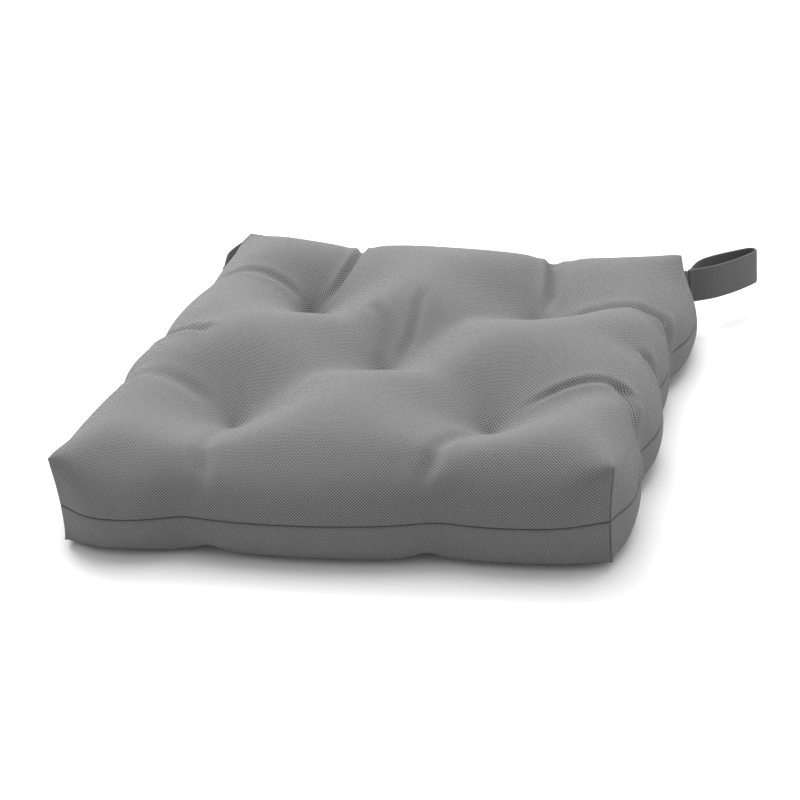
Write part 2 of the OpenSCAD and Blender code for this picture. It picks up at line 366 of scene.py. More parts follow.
def near_tuft():
    """Distance of each point of the two faces from its nearest tuft."""
    d = np.min([np.hypot(across - x, along - y) for x, y in TUFTS], axis=0)
    return np.where(on_top | on_base, d, HALF)


def rim():
    """Points where a wall meets a face."""
    return ((s == 0) | (s == 1) | (t == 0) | (t == 1)) & (on_top | on_base)


def from_corner():
    """Distance of each point from its nearest corner seam, along the cut cloth."""
    return np.hypot(HALF - np.abs(across), HALF - np.abs(along))


# ---------------------------------------------------------------- cover: cloth simulation
CUT = 1.01                             # the cloth is cut this much larger than the pad
CUT_WALL = 0.85                        # the walls start lower than they end
PIN_R = 0.0065                         # the cloth is tied down this far round a tuft
HELD_R = 0.02                          # and keeps its drawn form up to about here
# How firmly the cloth is held to its form, from 0 to 1
FACE_HOLD, WALL_HOLD, FOOT_HOLD, CORNER_HOLD = 0.55, 0.70, 0.90, 0.97
CORNER_REACH = 0.035                   # how far the firmer hold of a corner spreads


def floor_for_cloth():
    """What the cloth can't sink through, a little below its resting face."""
    obj = in_scene("cloth_floor", square("cloth_floor", 0.5, 0))
    obj.location.z = -0.0015
    obj.modifiers.new("Collision", "COLLISION")
    obj.collision.thickness_outer = 0.001
    obj.collision.cloth_friction = 20
    return obj


def simulate(form, hold):
    """Lets the cut cloth swell against its pins, and returns where it comes to rest."""
    start = np.stack([across * CUT, along * CUT, flat_z * CUT_WALL], 1)
    mesh = bpy.data.meshes.new("cloth")
    mesh.from_pydata(start.tolist(), [], grid.faces)
    cloth = in_scene("cloth", mesh)
    cloth.shape_key_add(name="Cut")
    pulled = cloth.shape_key_add(name="Pulled")
    pulled.data.foreach_set("co", form.astype(np.float32).ravel())
    for frame_number, value in ((1, 0.0), (PULL_FRAMES, 1.0)):
        pulled.value = value
        pulled.keyframe_insert("value", frame=frame_number)
    pins = cloth.vertex_groups.new(name="pins")
    for index, weight in enumerate(hold):
        pins.add([index], float(weight), "REPLACE")
    modifier = cloth.modifiers.new("Cloth", "CLOTH")
    c = modifier.settings
    c.quality, c.mass, c.air_damping = 5, 0.005, 1.0
    c.tension_stiffness = c.compression_stiffness = 40.0
    c.shear_stiffness, c.bending_stiffness = 15.0, 0.4
    c.tension_damping = c.compression_damping = c.shear_damping = 5.0
    c.bending_damping = 0.5
    c.use_pressure, c.uniform_pressure_force = True, 60.0
    c.vertex_group_mass, c.pin_stiffness = "pins", 5.0
    c.effector_weights.gravity = 0.0
    modifier.collision_settings.distance_min = 0.0015
    modifier.collision_settings.use_self_collision = False
    floor = floor_for_cloth()
    scene = bpy.context.scene
    scene.frame_start, scene.frame_end = 1, FRAMES
    modifier.point_cache.frame_start, modifier.point_cache.frame_end = 1, FRAMES
    for number in range(1, FRAMES + 1):
        scene.frame_set(number)
    settled = cloth.evaluated_get(bpy.context.evaluated_depsgraph_get()).to_mesh()
    shape = np.empty(len(settled.vertices) * 3)
    settled.vertices.foreach_get("co", shape)
    for obj in (cloth, floor):
        bpy.data.objects.remove(obj)
    scene.frame_set(1)
    return shape.reshape(-1, 3)


def sewn_cloth():
    """The cover's points after the simulation, tied down at the tufts."""
    form = sewn_form()
    tufts, near_corner = near_tuft(), 1 - smooth(from_corner() / CORNER_REACH)
    held = np.clip(1.5 - tufts / HELD_R, 0, 1)
    held[on_base & rim()] = 1
    form = relax(form, np.maximum(held, 0.95 * near_corner), 7)
    hold = np.where(on_top | on_base, FACE_HOLD, WALL_HOLD)
    hold[rim() & on_base] = FOOT_HOLD
    hold = np.maximum(hold, CORNER_HOLD * near_corner)
    for index in np.flatnonzero(tufts < PIN_R):
        x, y = min(TUFTS, key=lambda p: math.hypot(across[index] - p[0], along[index] - p[1]))
        rise = 0.15 * tufts[index]
        z = DIMPLE_TOP + rise if on_top[index] else DIMPLE_LOW - rise
        form[index] = ((across[index] + x) / 2, (along[index] + y) / 2, z)
        hold[index] = 1
    return relax(simulate(form, hold), np.maximum(held, 0.8 * near_corner), 3)


cover = sewn_cloth()


# ---------------------------------------------------------------- helpers for pieces
def add_piece(name, points, faces, material, body="pad", stands_for=(), flat=None):
    """A mesh object on a body, with an optional UV map of flat cloth positions in metres."""
    mesh = bpy.data.meshes.new(name)
    mesh.from_pydata([tuple(p) for p in points], [], faces)
    mesh.validate()
    if flat is not None:
        layer = mesh.uv_layers.new(name="cloth")
        corner_points = np.array([loop.vertex_index for loop in mesh.loops])
        layer.data.foreach_set("uv", np.asarray(flat, np.float32)[corner_points].ravel())
    mesh.materials.append(material)
    mesh.shade_smooth()
    obj = in_scene(name, mesh)
    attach(obj, body)
    if stands_for:
        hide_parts(*stands_for)
    return obj


def tube(path, radius, sides=6, closed=False):
    """Points and faces of a round thread along a path."""
    path = np.asarray(path, float)
    count = len(path)
    ahead = np.roll(path, -1, 0) - np.roll(path, 1, 0)
    if not closed:
        ahead[0], ahead[-1] = path[1] - path[0], path[-1] - path[-2]
    ahead /= np.linalg.norm(ahead, axis=1)[:, None]
    normal = np.cross(ahead[0], UP if abs(ahead[0][2]) < 0.9 else OUTWARD[1])
    points, faces = [], []
    for centre, direction in zip(path, ahead):
        normal = normal - direction * (normal @ direction)
        normal /= np.linalg.norm(normal)
        other = np.cross(direction, normal)
        for k in range(sides):
            angle = 2 * math.pi * k / sides
            points.append(centre + radius * (math.cos(angle) * normal + math.sin(angle) * other))
    for ring in range(count if closed else count - 1):
        after = (ring + 1) % count
        for k in range(sides):
            k2 = (k + 1) % sides
            faces.append((ring * sides + k, ring * sides + k2, after * sides + k2, after * sides + k))
    if not closed:
        faces.append(tuple(reversed(range(sides))))
        faces.append(tuple((count - 1) * sides + k for k in range(sides)))
    return points, faces


def merge(parts):
    """Joins several (points, faces) into one."""
    points, faces = [], []
    for part_points, part_faces in parts:
        start = len(points)
        points.extend(part_points)
        faces.extend(tuple(start + k for k in face) for face in part_faces)
    return points, faces


def resample(line, step):
    """Points at equal steps along a polyline."""
    line = np.asarray(line, float)
    lengths = np.r_[0, np.cumsum(np.linalg.norm(np.diff(line, axis=0), axis=1))]
    count = max(2, int(round(lengths[-1] / step)) + 1)
    at = np.linspace(0, lengths[-1], count)
    return np.stack([np.interp(at, lengths, line[:, axis]) for axis in range(3)], 1)


def face_fix(obj):
    """Outward normals for a closed mesh."""
    mesh = bmesh.new()
    mesh.from_mesh(obj.data)
    bmesh.ops.recalc_face_normals(mesh, faces=mesh.faces)
    mesh.to_mesh(obj.data)
    mesh.free()


# ---------------------------------------------------------------- materials
def node(tree, kind, inputs=None, **settings):
    """A shader node with its settings, and its inputs linked or set."""
    made = tree.nodes.new(kind)
    for key, value in settings.items():
        setattr(made, key, value)
    for key, value in (inputs or {}).items():
        socket = made.inputs[key]
        if isinstance(value, bpy.types.NodeSocket):
            tree.links.new(value, socket)
        else:
            socket.default_value = value
    return made


def blank(name):
    """A new material with its node tree and its shader."""
    material = bpy.data.materials.new(name)
    material.use_nodes = True
    return material, material.node_tree, material.node_tree.nodes["Principled BSDF"]


def maths(tree, operation, a, b=0.0, c=0.0, clamp=False):
    """The result of a maths node."""
    made = node(tree, "ShaderNodeMath", {0: a, 1: b, 2: c}, operation=operation)
    made.use_clamp = clamp
    return made.outputs[0]


def grey(value):
    """A neutral colour."""
    return (value, value, value, 1.0)


def woven(name, dark, light, pitch_across, pitch_along, bump, roughness, sheen, melange, stray=0.35):
    """Plain weave of round yarns on the flat cloth, one yarn over and one under. Melange is how
    much lighter the warp is than the weft, and stray how much one yarn differs from the next."""
    material, tree, shader = blank(name)
    uv = node(tree, "ShaderNodeUVMap", uv_map="cloth").outputs[0]
    # slow wander of the yarns, so that no row is ruler straight
    wander = node(tree, "ShaderNodeTexNoise", {"Vector": uv, "Scale": 60.0, "Detail": 2.0})
    offset = node(tree, "ShaderNodeVectorMath", {0: wander.outputs["Color"], 1: (0.5, 0.5, 0.5)},
                  operation="SUBTRACT").outputs[0]
    offset = node(tree, "ShaderNodeVectorMath", {0: offset, "Scale": 0.9 * pitch_across},
                  operation="SCALE").outputs[0]
    place = node(tree, "ShaderNodeVectorMath", {0: uv, 1: offset}, operation="ADD").outputs[0]
    axes = node(tree, "ShaderNodeSeparateXYZ", {0: place}).outputs
    u, v = maths(tree, "DIVIDE", axes[0], pitch_across), maths(tree, "DIVIDE", axes[1], pitch_along)
    warp, weft = maths(tree, "FLOOR", u), maths(tree, "FLOOR", v)
    # the even number added keeps the sum above zero
    parity = maths(tree, "MODULO", maths(tree, "ADD", maths(tree, "ADD", warp, weft), 2000.0), 2.0)
    humps = []
    for first, second in ((u, v), (v, u)):
        cross = maths(tree, "ABSOLUTE", maths(tree, "SINE", maths(tree, "MULTIPLY", first, math.pi)))
        run = maths(tree, "ABSOLUTE", maths(tree, "SINE", maths(tree, "MULTIPLY", second, math.pi)))
        humps.append(maths(tree, "MULTIPLY", maths(tree, "POWER", cross, 0.55),
                           maths(tree, "POWER", run, 0.35)))
    height = node(tree, "ShaderNodeMix", {0: parity, 2: humps[0], 3: humps[1]}).outputs[0]
    # each yarn has its own tone, and its own thick and thin stretches
    tones = []
    for number, run, seed in ((warp, v, 3.7), (weft, u, 11.3)):
        at = node(tree, "ShaderNodeCombineXYZ",
                  {0: maths(tree, "MULTIPLY", number, 7.31), 1: maths(tree, "MULTIPLY", run, 0.11),
                   2: seed}).outputs[0]
        tones.append(node(tree, "ShaderNodeTexNoise", {"Vector": at, "Scale": 1.0, "Detail": 2.0}
                          ).outputs["Fac"])
    tone = node(tree, "ShaderNodeMix", {0: parity, 2: tones[0], 3: tones[1]}).outputs[0]
    hair = node(tree, "ShaderNodeTexNoise", {"Vector": uv, "Scale": 5200.0, "Detail": 3.0}
                ).outputs["Fac"]
    tone = maths(tree, "MULTIPLY_ADD", maths(tree, "SUBTRACT", tone, 0.5), stray,
                 maths(tree, "MULTIPLY_ADD", hair, 0.25, 0.4))
    warp_tone = maths(tree, "MULTIPLY_ADD", parity, melange, -melange / 2)
    shade = maths(tree, "MULTIPLY_ADD", tone, 0.5, warp_tone)
    # Colour also follows the yarn relief: the yarn crowns are painted lighter and the dips between
    # yarns darker, painted shade in the weave's hollows laid over the yarns' own tones.
    tone_and_painted_shade = maths(tree, "MULTIPLY_ADD", height, 0.65, shade, clamp=True)
    colour = node(tree, "ShaderNodeMix", {0: tone_and_painted_shade, 6: grey(dark), 7: grey(light)},
                  data_type="RGBA").outputs[2]
    tree.links.new(colour, shader.inputs["Base Color"])
    rough = maths(tree, "MULTIPLY_ADD", hair, 0.12, roughness - 0.06)
    tree.links.new(rough, shader.inputs["Roughness"])
    relief_height = maths(tree, "MULTIPLY_ADD", hair, 0.12, height)
    normal = node(tree, "ShaderNodeBump", {"Height": relief_height, "Distance": bump, "Strength": 1.0})
    tree.links.new(normal.outputs[0], shader.inputs["Normal"])
    shader.inputs["Sheen Weight"].default_value = sheen
    shader.inputs["Sheen Roughness"].default_value = 0.5
    shader.inputs["Specular IOR Level"].default_value = 0.2
    return material


def fibrous(name, dark, light, scale, bump, roughness):
    """Spun thread, twine or loose fibre: fine streaks and fuzz in object space."""
    material, tree, shader = blank(name)
    place = node(tree, "ShaderNodeTexCoord").outputs["Object"]
    fibre = node(tree, "ShaderNodeTexNoise",
                 {"Vector": place, "Scale": scale, "Detail": 4.0, "Distortion": 1.5}).outputs["Fac"]
    clump = node(tree, "ShaderNodeTexNoise",
                 {"Vector": place, "Scale": scale / 12, "Detail": 2.0}).outputs["Fac"]
    mixed = maths(tree, "MULTIPLY_ADD", fibre, 0.7, maths(tree, "MULTIPLY", clump, 0.3))
    colour = node(tree, "ShaderNodeMix", {0: mixed, 6: grey(dark), 7: grey(light)},
                  data_type="RGBA").outputs[2]
    tree.links.new(colour, shader.inputs["Base Color"])
    normal = node(tree, "ShaderNodeBump", {"Height": mixed, "Distance": bump, "Strength": 1.0})
    tree.links.new(normal.outputs[0], shader.inputs["Normal"])
    shader.inputs["Roughness"].default_value = roughness
    shader.inputs["Sheen Weight"].default_value = 0.2
    shader.inputs["Specular IOR Level"].default_value = 0.25
    return material


cover_cloth = woven("cover_weave", 0.015, 0.235, WEAVE_PITCH, WEAVE_PITCH, 0.0006, 0.85, 0.15, 0.90)
webbing_cloth = woven("webbing_weave", 0.02, 0.125, 0.0012, 0.0009, 0.0003, 0.7, 0.08, 0.15, 0.25)
thread_fibre = fibrous("thread_fibre", 0.10, 0.26, 3000.0, 0.0001, 0.7)
twine_fibre = fibrous("twine_fibre", 0.10, 0.26, 2000.0, 0.0002, 0.75)
filling_fibre = fibrous("filling_fibre", 0.72, 0.90, 400.0, 0.002, 0.95)


# ---------------------------------------------------------------- panels
GAP_FADE = 0.004                       # height over which a corner seam opens round the webbing
TURN_IN = 0.003                        # how far a corner ply dips below the face at its tip
SEAM_LIFT = 0.0002                     # half the room between the two plies of the wall seam


def webbing_gap(corner, z):
    """Half the room between the plies of a corner seam: the back ones hold the webbing."""
    if not CORNERS[corner].startswith("back"):
        return PLY_CLEAR / 2
    low, high = loop_low[2], loop_high[2]
    inside = smooth((z - low + GAP_FADE) / GAP_FADE) * (1 - smooth((z - high) / GAP_FADE))
    return PLY_CLEAR / 2 + WEBBING_T * inside


class Panel:
    """One sewn panel: a face, its four walls down (or up) to the seam, and the allowances."""

    def __init__(self, upper):
        self.sign = 1 if upper else -1
        self.edge_row = grid.rows if upper else 0
        self.depth = HIGH_ROWS if upper else LOW_ROWS
        self.points, self.flat, self.faces = [], [], []
        self.face_points = {}
        n = CELLS
        for i in range(n + 1):
            for j in range(n + 1):
                key = grid.number[(i, j, self.edge_row)]
                self.face_points[(i, j)] = self.point(cover[key], (across[key] * CUT, along[key] * CUT))
        for i in range(n):
            for j in range(n):
                ring = ((i, j), (i + 1, j), (i + 1, j + 1), (i, j + 1))
                self.quad(*(self.face_points[k] for k in ring))
        for side in range(4):
            self.strip(side)

    def point(self, position, flat):
        """Adds a point with its place on the flat cloth, and returns its number."""
        self.points.append(np.array(position, float))
        self.flat.append(flat)
        return len(self.points) - 1

    def quad(self, *ring):
        """Adds a face that looks outwards."""
        self.faces.append(tuple(ring) if self.sign > 0 else tuple(reversed(ring)))

    def wall_point(self, side, a, r):
        """Place of a wall's point in column a, r rows from the face."""
        return cover[grid.wall_index(side, a, self.edge_row - self.sign * r)]

    def flat_place(self, side, a, drop):
        """Flat cloth position: walls continue the face outwards."""
        key = grid.wall_index(side, a, self.edge_row)
        place = np.array((across[key], along[key])) * CUT
        return place + OUTWARD[side][:2] * drop

    def strip(self, side):
        """A wall with its seam allowance below and its corner allowances at both ends."""
        n, depth = CELLS, self.depth
        lift = self.sign * UP
        step = (CORNER_Z - SEAM_Z) / HIGH_ROWS if self.sign > 0 else SEAM_Z / LOW_ROWS
        made = {}
        for a in range(n + 1):
            for r in range(depth + 1):
                if r == 0:
                    i, j, _ = grid.wall(side, a, 0)
                    made[(a, 0)] = self.face_points[(i, j)]
                    continue
                place = self.wall_point(side, a, r).copy()
                if r == depth:
                    place += lift * ROLL
                if a in (0, n):
                    inner = self.wall_point(side, 1 if a == 0 else n - 1, r)
                    away = inner - self.wall_point(side, a, r)
                    place += ROLL * away / np.linalg.norm(away)
                made[(a, r)] = self.point(place, self.flat_place(side, a, r * step))
            seam = self.wall_point(side, a, depth)
            end_shift = np.zeros(3)
            if a in (0, n):
                end_shift = ALONG[side] * (ROLL if a == 0 else -ROLL)
            for extra, inward in ((1, ROLL), (2, ALLOWANCE)):
                place = seam + end_shift - OUTWARD[side] * inward + lift * SEAM_LIFT
                made[(a, depth + extra)] = self.point(
                    place, self.flat_place(side, a, depth * step + inward))
        for end, corner in ((0, (side - 1) % 4), (n, side)):
            self.corner_ply(side, end, corner, made, step)
        for a in range(-2, n + 2):
            for r in range(depth + 2):
                ring = [made.get(k) for k in ((a, r), (a, r + 1), (a + 1, r + 1), (a + 1, r))]
                if None not in ring:
                    self.quad(*ring)

    def corner_ply(self, side, end, corner, made, step):
        """Columns -1 and -2, or n + 1 and n + 2: the ply of a corner seam."""
        beyond = -1 if end == 0 else 1
        toward_wall = ALONG[side] * (1 if end == 0 else -1)
        diagonal = DIAGONAL[corner]
        apart = toward_wall - diagonal * (toward_wall @ diagonal)
        apart /= np.linalg.norm(apart)
        for r in range(self.depth + 1):
            edge = self.wall_point(side, end, r)
            gap = webbing_gap(corner, edge[2])
            for extra, inward in ((1, ROLL), (2, ALLOWANCE)):
                place = edge - diagonal * inward + apart * gap
                if r == 0:
                    place = place - self.sign * UP * TURN_IN
                if r == self.depth:
                    place = place + self.sign * UP * ROLL
                flat = self.flat_place(side, end, r * step) - toward_wall[:2] * inward
                made[(end + beyond * extra, r)] = self.point(place, flat)

    def build(self, name, node_name):
        """The panel as an object, smoothed, creased if it is the upper one, and given its thickness."""
        obj = add_piece(name, self.points, self.faces, cover_cloth,
                        stands_for=(node_name,), flat=self.flat)
        finer = obj.modifiers.new("Finer", "SUBSURF")
        finer.levels = 1
        fine = obj.evaluated_get(bpy.context.evaluated_depsgraph_get())
        obj.data = bpy.data.meshes.new_from_object(fine)
        obj.modifiers.clear()
        if self.sign > 0:
            press_creases(obj.data)
        thick = obj.modifiers.new("Thick", "SOLIDIFY")
        thick.thickness, thick.offset, thick.use_even_offset = CLOTH_T, -1.0, False
        return obj


def press_creases(mesh):
    """Presses the sharp folds into a panel, by each point's place on the flat cut."""
    count = len(mesh.vertices)
    flat, points, normals = np.zeros((count, 2)), np.empty(count * 3), np.empty(count * 3)
    ends = np.empty(len(mesh.loops), int)
    mesh.loops.foreach_get("vertex_index", ends)
    places = np.empty(len(mesh.loops) * 2)
    mesh.uv_layers["cloth"].data.foreach_get("uv", places)
    flat[ends] = places.reshape(-1, 2) / CUT
    mesh.vertices.foreach_get("co", points)
    mesh.vertex_normals.foreach_get("vector", normals)
    moved = points.reshape(-1, 3) - normals.reshape(-1, 3) * creases(*flat.T)[:, None]
    mesh.vertices.foreach_set("co", moved.ravel())
    mesh.update()


upper_piece = Panel(True).build("upper_cover", "upper_panel")
lower_piece = Panel(False).build("lower_cover", "lower_panel")


# ---------------------------------------------------------------- filling
FIBRE_IN = 0.009                       # from the cover's surface to the fibre
SEAM_BAND, CORNER_BAND = 0.008, 0.012  # how far the fibre keeps off the allowances


def build_filling():
    """Loose fibre inside the cover, clear of the allowances and the corner plies."""
    faces = np.array(grid.faces)
    a, b, c, d = (cover[faces[:, k]] for k in range(4))
    face_normal = np.cross(c - a, d - b)
    normal = np.zeros_like(cover)
    for k in range(4):
        np.add.at(normal, faces[:, k], face_normal)
    normal /= np.linalg.norm(normal, axis=1)[:, None]
    points = cover - normal * FIBRE_IN
    seam_near = np.exp(-((cover[:, 2] - SEAM_Z) / SEAM_BAND) ** 2)
    on_wall = (s == 0) | (s == 1) | (t == 0) | (t == 1)
    for side in range(4):
        mine = grid.keys[:, 1 - side % 2] == (0, CELLS, CELLS, 0)[side]
        points -= np.outer(np.where(mine & on_wall, seam_near, 0) * ALLOWANCE, OUTWARD[side])
    corner_near = np.exp(-(from_corner() / CORNER_BAND) ** 2)
    middle = np.stack([-np.sign(across), -np.sign(along), np.zeros_like(across)], 1) / math.sqrt(2)
    points += middle * (corner_near * ALLOWANCE)[:, None]
    return add_piece("filling", points, grid.faces, filling_fibre,
                     stands_for=("fibre_filling",))


filling_piece = build_filling()


# ---------------------------------------------------------------- sewing threads
THREAD_R = 0.0003
STITCH = 0.0033                        # length of a lockstitch
STITCH_IN = 0.0030                     # from the seam's fold to its stitches
OVERLOCK_STEP, SLIP_STEP = 0.0025, 0.005   # one turn of the overlock and of the slip stitches
TURN_POINTS = 8                        # points round one such turn
THREAD_CLEAR = 0.0002
SEAM_ENDS = (0.04, 0.96)               # shares of a wall between which its seam is sewn
OPENING = (0.32, 0.68)                 # share of the back wall that is closed last


def thread_piece(parts, node_name, name=None):
    """One piece of sewing thread, named after the CAD node that it replaces."""
    points, faces = merge(parts)
    return add_piece(name or f"{node_name}_thread", points, faces, thread_fibre,
                     stands_for=(node_name,))


def lockstitch(line, inward, lift, half, node_name, name=None):
    """Needle and bobbin thread along a seam, on the outer faces of its two plies."""
    path = resample(line, STITCH / 6) + inward * STITCH_IN
    phase = np.arange(len(path)) / 6 * math.pi
    rise = np.abs(np.sin(phase)) ** 0.4
    off = 0.2 * half + 0.8 * half * rise + THREAD_CLEAR
    parts = [tube(path + np.outer(sign * off, lift), THREAD_R) for sign in (1, -1)]
    return thread_piece(parts, node_name, name)


def overlock(line, inward, lift, half, node_name):
    """Thread that goes round and round the raw edges of an allowance."""
    path = resample(line, OVERLOCK_STEP / TURN_POINTS)
    turn = np.arange(len(path)) / TURN_POINTS * 2 * math.pi
    depth = ALLOWANCE - 0.0018 + 0.0022 * np.cos(turn)
    rise = (half + 2 * THREAD_CLEAR) * np.sin(turn)
    path = path + np.outer(depth, inward) + np.outer(rise, lift)
    return thread_piece([tube(path, THREAD_R * 0.8, 5)], node_name)


def seam_line(side, first=SEAM_ENDS[0], last=SEAM_ENDS[1]):
    """Sewn line of a wall seam, between two shares of the wall's length."""
    a0, a1 = int(round(first * CELLS)), int(round(last * CELLS))
    return np.array([cover[grid.wall_index(side, a, LOW_ROWS)] for a in range(a0, a1 + 1)])


def corner_line(corner):
    """Sewn line of a corner, from its lower tip to its upper tip."""
    return np.array([cover[grid.wall_index(corner, CELLS, k)] for k in range(1, grid.rows)])


for side, side_name in enumerate(SIDES):
    inward = -OUTWARD[side]
    ply = CLOTH_T + PLY_CLEAR
    if side_name == "back":
        right_end, left_end = (SEAM_ENDS[0], OPENING[0]), (OPENING[1], SEAM_ENDS[1])
        lockstitch(seam_line(side, *right_end), inward, UP, ply, "back_seam_right_end")
        lockstitch(seam_line(side, *left_end), inward, UP, ply, "back_seam_left_end")
    else:
        lockstitch(seam_line(side), inward, UP, ply, f"{side_name}_seam")
    overlock(seam_line(side), inward, UP, ply, f"{side_name}_overlock")

for corner, corner_name in enumerate(CORNERS):
    inward = -DIAGONAL[corner]
    apart = np.cross(UP, DIAGONAL[corner])
    ply = CLOTH_T + (WEBBING_T if corner_name.startswith("back") else 0) + PLY_CLEAR
    lockstitch(corner_line(corner), inward, apart, ply,
               f"{corner_name}_corner_seam", f"{corner_name}_corner_thread")
    overlock(corner_line(corner), inward, apart, ply, f"{corner_name}_corner_overlock")


def closing_stitches():
    """Slip stitches by hand over the filling opening, outside the back wall."""
    back = SIDES.index("back")
    line = resample(seam_line(back, *OPENING), SLIP_STEP / TURN_POINTS)
    turn = np.arange(len(line)) / TURN_POINTS * 2 * math.pi
    out, rise = -0.0006 + 0.0013 * np.cos(turn), 0.0022 * np.sin(turn)
    path = line + np.outer(out, OUTWARD[back]) + np.outer(rise, UP)
    return thread_piece([tube(path, THREAD_R)], "closing_stitch")


closing_stitches()


# ---------------------------------------------------------------- tufts
def trefoil(centre, size):
    """Centre line of a small overhand knot."""
    turn = np.linspace(0, 2 * math.pi, 60, endpoint=False)
    return centre + size * np.stack([np.sin(turn) + 2 * np.sin(2 * turn),
                                     np.cos(turn) - 2 * np.cos(2 * turn),
                                     -np.sin(3 * turn) * 0.8], 1)


def build_tuft(name, x, y):
    """Doubled twine: a stitch in the upper dimple, two strands, and a knot with tails below."""
    radius, spread = 0.0006, 0.0016
    top, low = DIMPLE_TOP + 0.0004, DIMPLE_LOW - 0.0012
    arch = [np.array((x + spread * math.cos(a), y, top + 0.0008 * math.sin(a)))
            for a in np.linspace(0, math.pi, 9)]
    down = [np.array((x - spread, y, z)) for z in np.linspace(top - 0.002, low, 8)]
    rising = [np.array((x + spread, y, z)) for z in np.linspace(low, top - 0.002, 8)]
    parts = [tube(rising + arch + down, radius),
             tube(trefoil(np.array((x, y, low)), 0.0008), radius, closed=True)]
    q = np.linspace(0, 1, 9)
    for sign in (1, -1):
        tail = np.stack([x + sign * (0.001 + 0.009 * q), y + sign * 0.003 * np.sin(3 * q),
                         low - 0.0004 - 0.006 * q * q], 1)
        parts.append(tube(tail, radius * 0.8))
    points, faces = merge(parts)
    return add_piece(f"{name}_twine", points, faces, twine_fibre, stands_for=(name,))


for tuft_name, (x, y) in zip(TUFT_NAMES, TUFTS):
    build_tuft(tuft_name, x, y)


# ---------------------------------------------------------------- webbing loops
ROOT, TAIL_END = 0.0002, 0.0020        # clearance on both sides of a loop's upright hinge line
PLY_HALF = WEBBING_T / 2 + 0.00008     # half the distance between two layers of webbing
TAIL_IN = 0.0105                       # how far the webbing's ends reach into the corner seam
BAND_ROWS = 24                         # cells across the width of the webbing
EDGE_ROUND = 0.0008                    # width of the webbing's thinner selvedge
# Each loop's corner, the side that its wider leg bows to, and how far it climbs
LOOPS = (("left_loop", "back_left", -1, 0.005), ("right_loop", "back_right", 1, 0.0))


def hinge_of(name):
    """A point on the upright hinge line of a loop."""
    return np.array(next(j for j in frame["joints"] if j["child"] == name)["pos_m"], float)


def band(path, low, high, half_t):
    """A closed band standing upright along a path: points, faces and flat positions."""
    path = np.asarray(path, float)
    ahead = np.gradient(path, axis=0)
    side_way = np.cross(ahead, UP)
    side_way /= np.linalg.norm(side_way, axis=1)[:, None]
    run = np.r_[0, np.cumsum(np.linalg.norm(np.diff(path, axis=0), axis=1))]
    width, rows = high - low, BAND_ROWS
    heights = np.linspace(0, width, rows + 1)
    edge = np.minimum(heights, width - heights)
    half_widths = half_t * np.sqrt(np.minimum(1.0, 0.25 + edge / EDGE_ROUND))
    profile = [*zip(heights, half_widths), *zip(heights[::-1], -half_widths[::-1])]
    count = len(profile)
    points, flat, faces = [], [], []
    for index, centre in enumerate(path):
        for z, w in profile:
            points.append(centre + side_way[index] * w + UP * (low + z))
            flat.append((run[index], z if w > 0 else width + (width - z)))
    for index in range(len(path) - 1):
        for k in range(count):
            k2 = (k + 1) % count
            faces.append((index * count + k, index * count + k2,
                          (index + 1) * count + k2, (index + 1) * count + k))
    last = (len(path) - 1) * count
    for k in range(rows):
        other = count - 1 - k
        faces.append((k + 1, k, other, other - 1))
        faces.append((last + k, last + k + 1, last + other - 1, last + other))
    return points, faces, flat


def curve_through(points, count):
    """A smooth line through a few points, by Catmull-Rom, with count steps between each two."""
    points = [np.array(p, float) for p in points]
    points = [2 * points[0] - points[1], *points, 2 * points[-1] - points[-2]]
    out = []
    for a, b, c, d in zip(points, points[1:], points[2:], points[3:]):
        for q in np.linspace(0, 1, count, endpoint=False):
            out.append(0.5 * (2 * b + (c - a) * q + (2 * a - 5 * b + 4 * c - d) * q ** 2
                              + (3 * b - a - 3 * c + d) * q ** 3))
    out.append(points[-2])
    return np.array(out)


def build_loop(name, bow, rise):
    """Webbing from the corner seam out round its fold and back. The legs bow apart, the one on
    the side of bow further, and the webbing climbs by rise on its way."""
    hinge = hinge_of(name)
    low, high = cad(name)
    far = np.where(np.abs(high - hinge) > np.abs(low - hinge), high, low)[:2] - hinge[:2]
    fold = far - np.sign(far) * LOOP_R
    reach = np.linalg.norm(fold) + LOOP_R - 0.0005
    out = np.append(fold / np.linalg.norm(fold), 0)
    cross = np.array((-out[1], out[0], 0))
    half, legs = WEBBING_T / 2, PLY_HALF
    wide = LOOP_R - half
    outline = [(ROOT, legs), (0.003, 1.2 * legs), (0.012, 1.10 * wide), (0.024, 1.90 * wide),
               (0.55 * reach, 1.85 * wide), (reach - 0.009, 1.05 * wide), (reach - 0.0016, 0.60 * wide),
               (reach, 0.0), (reach - 0.0014, -0.60 * wide), (reach - 0.008, -1.00 * wide),
               (0.6 * reach, -1.35 * wide), (0.3 * reach, -1.15 * wide), (0.003, -1.1 * legs),
               (ROOT, -legs)]
    path = curve_through([d * out + bow * q * cross for d, q in outline], 10)
    path[:, 2] = rise * smooth(path @ out / (0.4 * reach))
    path = resample(path, 0.0011) + np.array((hinge[0], hinge[1], 0))
    points, faces, flat = band(path, low[2], high[2], half)
    return add_piece(f"{name}_webbing", points, faces, webbing_cloth, body=name,
                     stands_for=(name,), flat=flat)


def build_tail(name, corner):
    """The two sewn-in ends of a loop, face to face inside the corner seam."""
    low, high = cad(f"{name}_tail")
    hinge = hinge_of(name) * (1, 1, 0)
    diagonal, apart = DIAGONAL[corner], np.cross(UP, DIAGONAL[corner])
    parts, flats = [], []
    for sign in (1, -1):
        path = [hinge - diagonal * d + apart * sign * PLY_HALF
                for d in np.linspace(TAIL_END, TAIL_IN, 9)]
        points, faces, flat = band(path, low[2], high[2], WEBBING_T / 2)
        parts.append((points, faces))
        flats.extend(flat)
    points, faces = merge(parts)
    return add_piece(f"{name}_tail_webbing", points, faces, webbing_cloth,
                     stands_for=(f"{name}_tail",), flat=flats)


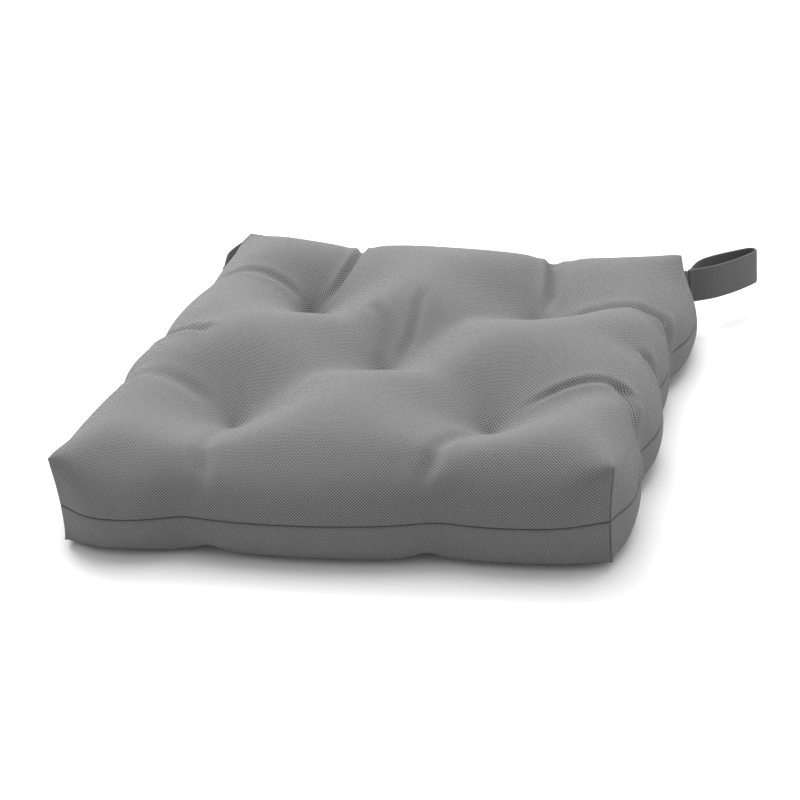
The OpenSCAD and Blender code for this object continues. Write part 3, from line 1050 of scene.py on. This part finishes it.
def build_bar_tack(name, corner):
    """Close zigzag of thread through the plies and both webbing ends."""
    low, high = cad(f"{name}_bar_tack")
    centre = (low + high) / 2
    apart = np.cross(UP, DIAGONAL[corner])
    half = WEBBING_T + CLOTH_T + 0.0006
    count = 26
    path = []
    for k, z in enumerate(np.linspace(low[2], high[2], count)):
        sign = 1 if k % 2 else -1
        for q in (-1, 1):
            place = np.array((centre[0], centre[1], z + THREAD_CLEAR * q))
            path.append(place + apart * half * sign * q + DIAGONAL[corner] * THREAD_R * 2 * sign)
    return thread_piece([tube(path, THREAD_R)], f"{name}_bar_tack")


for loop_name, corner_name, bow, rise in LOOPS:
    build_loop(loop_name, bow, rise)
for loop_name, corner_name, *_ in LOOPS:
    build_tail(loop_name, CORNERS.index(corner_name))
    build_bar_tack(loop_name, CORNERS.index(corner_name))

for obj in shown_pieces():
    if obj.type == "MESH" and obj.name not in ("upper_cover", "lower_cover"):
        face_fix(obj)


# ---------------------------------------------------------------- floor, light and camera
def plain(name, value, roughness):
    """An even matt material for the studio floor."""
    material, _, shader = blank(name)
    shader.inputs["Base Color"].default_value = grey(value)
    shader.inputs["Roughness"].default_value = roughness
    shader.inputs["Specular IOR Level"].default_value = 0.0
    return material


def build_floor():
    """A wide sheet of studio paper just under the pad."""
    mesh = square("floor", 6.0, -0.0005)
    mesh.materials.append(plain("floor_paper", 0.72, 0.95))
    in_scene("floor", mesh)


def area_light(name, place, size, power):
    """A round soft light that faces the pad."""
    light = bpy.data.lights.new(name, "AREA")
    light.shape, light.size, light.energy = "DISK", size, power
    obj = in_scene(name, light)
    obj.location = place
    obj.rotation_euler = (-Vector(place)).to_track_quat("-Z", "Y").to_euler()


def build_camera():
    """Long lens from in front and a little to the right, rolled as the photograph is."""
    azimuth, elevation, roll = math.radians(16.1), math.radians(25.2), math.radians(-5.6)
    distance, lens_mm, sensor_mm = 1.337, 78.345, 36.0
    look_at = Vector((0.014, -0.031, 0.04))
    back = Vector((math.sin(azimuth) * math.cos(elevation), -math.cos(azimuth) * math.cos(elevation),
                   math.sin(elevation)))
    right = (-back).cross(Vector(UP)).normalized()
    up = right.cross(-back)
    turned = right * math.cos(roll) + up * math.sin(roll)
    upright = up * math.cos(roll) - right * math.sin(roll)
    place = look_at + back * distance
    camera = bpy.data.cameras.new("camera")
    camera.sensor_width, camera.lens = sensor_mm, lens_mm
    obj = in_scene("camera", camera)
    obj.matrix_world = Matrix(((turned.x, upright.x, back.x, place.x),
                               (turned.y, upright.y, back.y, place.y),
                               (turned.z, upright.z, back.z, place.z), (0, 0, 0, 1)))
    bpy.context.scene.camera = obj


def build_world(strength):
    """Even white light from all round."""
    world = bpy.data.worlds.new("studio")
    world.use_nodes = True
    background = world.node_tree.nodes["Background"]
    background.inputs["Color"].default_value = grey(1.0)
    background.inputs["Strength"].default_value = strength
    bpy.context.scene.world = world


build_floor()
build_world(0.82)
area_light("overhead", (0.0, 1.0, 2.2), 2.6, 80)
area_light("key", (-1.3, 1.4, 1.5), 1.4, 52)
area_light("side", (1.9, 0.9, 1.1), 1.2, 6)
build_camera()
bpy.context.scene.view_settings.view_transform = "Standard"
